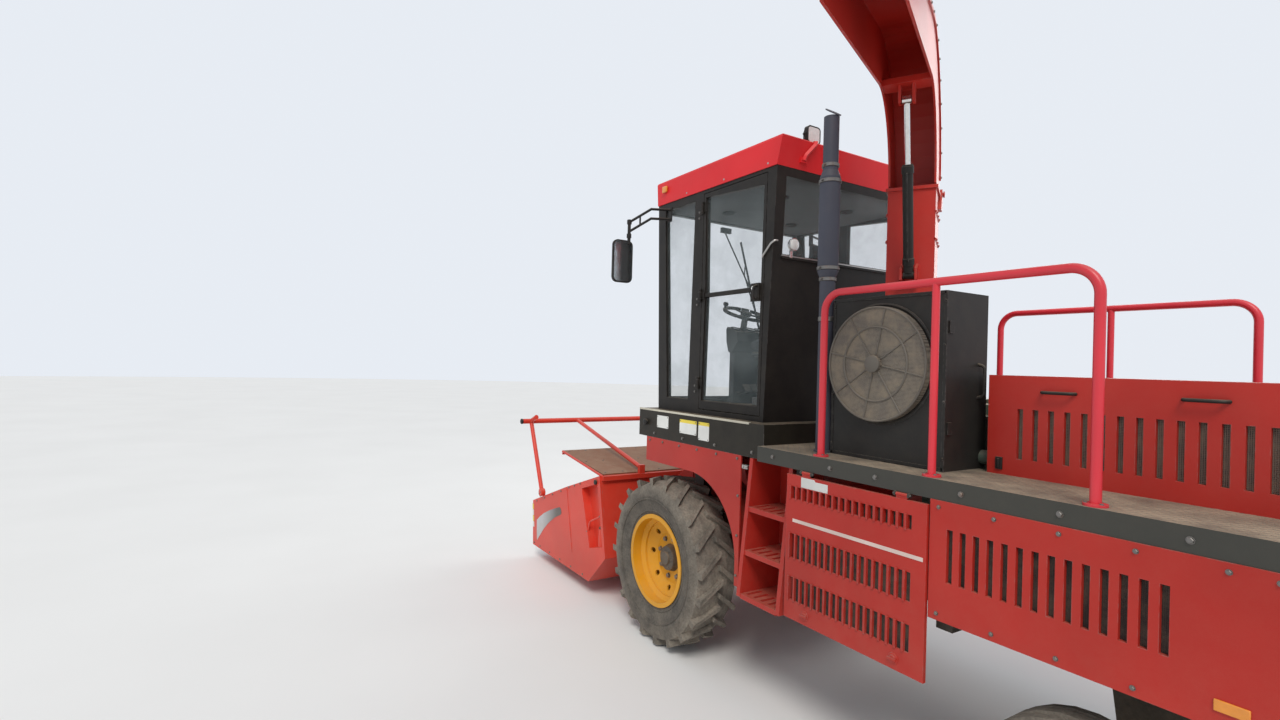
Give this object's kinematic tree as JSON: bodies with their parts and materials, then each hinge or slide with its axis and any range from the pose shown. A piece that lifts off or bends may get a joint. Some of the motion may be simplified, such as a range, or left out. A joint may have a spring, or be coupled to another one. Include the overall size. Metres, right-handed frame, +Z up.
{
  "type": "self-propelled forage harvester",
  "caption": "Self-propelled forage harvester with a rotary gathering header, cab, rear-steered axle and a slewing discharge spout that lifts and tilts.",
  "frame": {"origin": "on the ground below the middle of the machine's box, with the spout turned out to the left", "axes": "+X forward towards the header, +Y to the machine's left, +Z up"},
  "size_m": [6.487, 3.469, 4.0499],
  "materials": {
    "frame_paint": "satin black frame paint, dusty",
    "red_paint": "crimson red paint, dusty",
    "header_paint": "orange red paint, worn",
    "roof_paint": "bright red paint",
    "rim_paint": "yellow rim paint",
    "beam_paint": "dark grey paint under dust",
    "tyre": "tyre rubber",
    "deck_plate": "dusty chequer plate",
    "crop_deck": "dusty brown plate",
    "bright_steel": "bare steel",
    "chrome_rod": "chromed rod",
    "engine_paint": "engine paint",
    "stack_paint": "dark blue tube",
    "screen_mesh": "dusty screen",
    "tank": "black tank",
    "glass": "cab glass",
    "lamp": "lamp glass and housing",
    "trim": "black plastic",
    "seat_cloth": "black seat cloth"
  },
  "bodies": {
    "machine": {"chassis_frame": "frame_paint", "front_axle": "frame_paint", "rear_axle": "frame_paint", "cab_platform": "beam_paint", "wheel_fenders": "red_paint", "stairs": "red_paint", "decks": "deck_plate", "handrails": "red_paint", "rear_side_panels": "red_paint", "rear_bumper": "frame_paint", "fuel_tank": "tank", "engine_block": "engine_paint", "engine_hood": "red_paint", "radiator_box": "frame_paint", "exhaust_stack": "stack_paint", "cutter_housing": "red_paint", "cab_frame": "frame_paint", "windscreen": "glass", "cab_glass": "glass", "cab_roof": "roof_paint", "cab_lamps": "lamp", "mirrors": "trim", "seat": "seat_cloth", "console": "trim"},
    "front_wheel_left": {"front_rim_left": "rim_paint", "front_tyre_left": "tyre"},
    "front_wheel_right": {"front_rim_right": "rim_paint", "front_tyre_right": "tyre"},
    "rear_wheel_left": {"rear_rim_left": "rim_paint", "rear_tyre_left": "tyre"},
    "rear_wheel_right": {"rear_rim_right": "rim_paint", "rear_tyre_right": "tyre"},
    "knuckle_left": {"steering_knuckle_left": "frame_paint"},
    "knuckle_right": {"steering_knuckle_right": "frame_paint"},
    "track_rod": {"tie_rod": "bright_steel"},
    "door": {"cab_door": "frame_paint", "door_glass": "glass"},
    "service_door_left": {"side_door_left": "red_paint"},
    "service_door_right": {"side_door_right": "red_paint"},
    "screen": {"rotary_screen": "screen_mesh"},
    "header": {"feed_house": "header_paint", "header_box": "header_paint", "header_sides": "header_paint", "header_deck": "crop_deck", "push_bar": "header_paint", "crop_dividers": "header_paint"},
    "drum_left": {"gathering_drum_left": "header_paint"},
    "drum_right": {"gathering_drum_right": "header_paint"},
    "disc_left": {"cutting_disc_left": "bright_steel"},
    "disc_right": {"cutting_disc_right": "bright_steel"},
    "roll_upper": {"feed_roll_upper": "bright_steel"},
    "roll_lower": {"feed_roll_lower": "bright_steel"},
    "header_cylinders": {"lift_barrels": "frame_paint"},
    "header_rods": {"lift_rods": "chrome_rod"},
    "spout_base": {"spout_neck": "red_paint"},
    "spout_arm": {"spout_boom": "red_paint"},
    "spout_end": {"spout_flap": "red_paint"},
    "spout_cylinder": {"spout_barrel": "frame_paint"},
    "spout_piston": {"spout_rod": "chrome_rod"}
  },
  "joints": [
    {"name": "front_wheel_left_spin", "type": "hinge", "parent": "machine", "child": "front_wheel_left", "pos_m": [0.716, 0.312, 0.63], "axis": [0, 1, 0], "continuous": true},
    {"name": "front_wheel_right_spin", "type": "hinge", "parent": "machine", "child": "front_wheel_right", "pos_m": [0.716, -1.328, 0.63], "axis": [0, 1, 0], "continuous": true},
    {"name": "steer_left", "type": "hinge", "parent": "machine", "child": "knuckle_left", "pos_m": [-2.134, 0.072, 0.39], "axis": [0, 0, 1], "range_deg": [-32, 32]},
    {"name": "steer_right", "type": "hinge", "parent": "machine", "child": "knuckle_right", "pos_m": [-2.134, -1.088, 0.39], "axis": [0, 0, 1], "range_deg": [-32, 32]},
    {"name": "track_rod_slide", "type": "slide", "parent": "machine", "child": "track_rod", "axis": [0, 1, 0], "range_m": [-0.085, 0.085]},
    {"name": "rear_wheel_left_spin", "type": "hinge", "parent": "knuckle_left", "child": "rear_wheel_left", "pos_m": [-2.134, 0.292, 0.39], "axis": [0, 1, 0], "continuous": true},
    {"name": "rear_wheel_right_spin", "type": "hinge", "parent": "knuckle_right", "child": "rear_wheel_right", "pos_m": [-2.134, -1.308, 0.39], "axis": [0, 1, 0], "continuous": true},
    {"name": "cab_door_swing", "type": "hinge", "parent": "machine", "child": "door", "pos_m": [0.454, 0.298, 2.6], "axis": [0, 0, -1], "range_deg": [0, 80]},
    {"name": "side_door_left_lift", "type": "hinge", "parent": "machine", "child": "service_door_left", "pos_m": [-1.084, 0.447, 1.533], "axis": [1, 0, 0], "range_deg": [0, 80]},
    {"name": "side_door_right_lift", "type": "hinge", "parent": "machine", "child": "service_door_right", "pos_m": [-1.084, -1.463, 1.533], "axis": [-1, 0, 0], "range_deg": [0, 80]},
    {"name": "screen_spin", "type": "hinge", "parent": "machine", "child": "screen", "pos_m": [-1.084, 0.272, 2.16], "axis": [0, 1, 0], "continuous": true},
    {"name": "header_lift", "type": "hinge", "parent": "machine", "child": "header", "pos_m": [0.766, -0.508, 1.15], "axis": [0, -1, 0], "range_deg": [0, 15]},
    {"name": "drum_left_spin", "type": "hinge", "parent": "header", "child": "drum_left", "pos_m": [2.436, -0.038, 0.5], "axis": [0, 0, 1], "continuous": true},
    {"name": "drum_right_spin", "type": "hinge", "parent": "header", "child": "drum_right", "pos_m": [2.436, -0.978, 0.5], "axis": [0, 0, 1], "continuous": true},
    {"name": "disc_left_spin", "type": "hinge", "parent": "header", "child": "disc_left", "pos_m": [2.436, -0.038, 0.18], "axis": [0, 0, 1], "continuous": true},
    {"name": "disc_right_spin", "type": "hinge", "parent": "header", "child": "disc_right", "pos_m": [2.436, -0.978, 0.18], "axis": [0, 0, 1], "continuous": true},
    {"name": "roll_upper_spin", "type": "hinge", "parent": "header", "child": "roll_upper", "pos_m": [1.431, -0.508, 0.74], "axis": [0, 1, 0], "continuous": true},
    {"name": "roll_lower_spin", "type": "hinge", "parent": "header", "child": "roll_lower", "pos_m": [1.416, -0.508, 0.5], "axis": [0, 1, 0], "continuous": true},
    {"name": "header_cylinder_swing", "type": "hinge", "parent": "machine", "child": "header_cylinders", "pos_m": [0.896, -0.008, 0.52], "axis": [0, -1, 0], "range_deg": [0, 20]},
    {"name": "header_rod_slide", "type": "slide", "parent": "header_cylinders", "child": "header_rods", "axis": [0.9795, 0, -0.2017], "range_m": [0, 0.17]},
    {"name": "spout_slew", "type": "hinge", "parent": "machine", "child": "spout_base", "pos_m": [-0.744, -0.508, 2.4], "axis": [0, 0, 1], "range_deg": [-40, 160]},
    {"name": "spout_lift", "type": "hinge", "parent": "spout_base", "child": "spout_arm", "pos_m": [-0.6565, -0.65955, 3.3], "axis": [0.866, 0.5, 0], "range_deg": [0, 20]},
    {"name": "spout_flap_tilt", "type": "hinge", "parent": "spout_arm", "child": "spout_end", "pos_m": [-1.84919, 1.40624, 3.69094], "axis": [0.866, 0.5, 0], "range_deg": [-25, 45]},
    {"name": "spout_cylinder_swing", "type": "hinge", "parent": "spout_base", "child": "spout_cylinder", "pos_m": [-0.8515, -0.3218, 2.72], "axis": [0.866, 0.5, 0], "range_deg": [0, 13]},
    {"name": "spout_rod_slide", "type": "slide", "parent": "spout_cylinder", "child": "spout_piston", "axis": [-0.1647, 0.2853, 0.9442], "range_m": [0, 0.19]}
  ],
  "couplings": [
    {"joint": "steer_right", "follows": "steer_left", "ratio": 1},
    {"joint": "track_rod_slide", "follows": "steer_left", "m_per_rad": -0.1455},
    {"joint": "header_cylinder_swing", "follows": "header_lift", "ratio": 1.255},
    {"joint": "header_rod_slide", "follows": "header_lift", "m_per_rad": 0.6227},
    {"joint": "spout_cylinder_swing", "follows": "spout_lift", "ratio": 0.5745},
    {"joint": "spout_rod_slide", "follows": "spout_lift", "m_per_rad": 0.521}
  ]
}
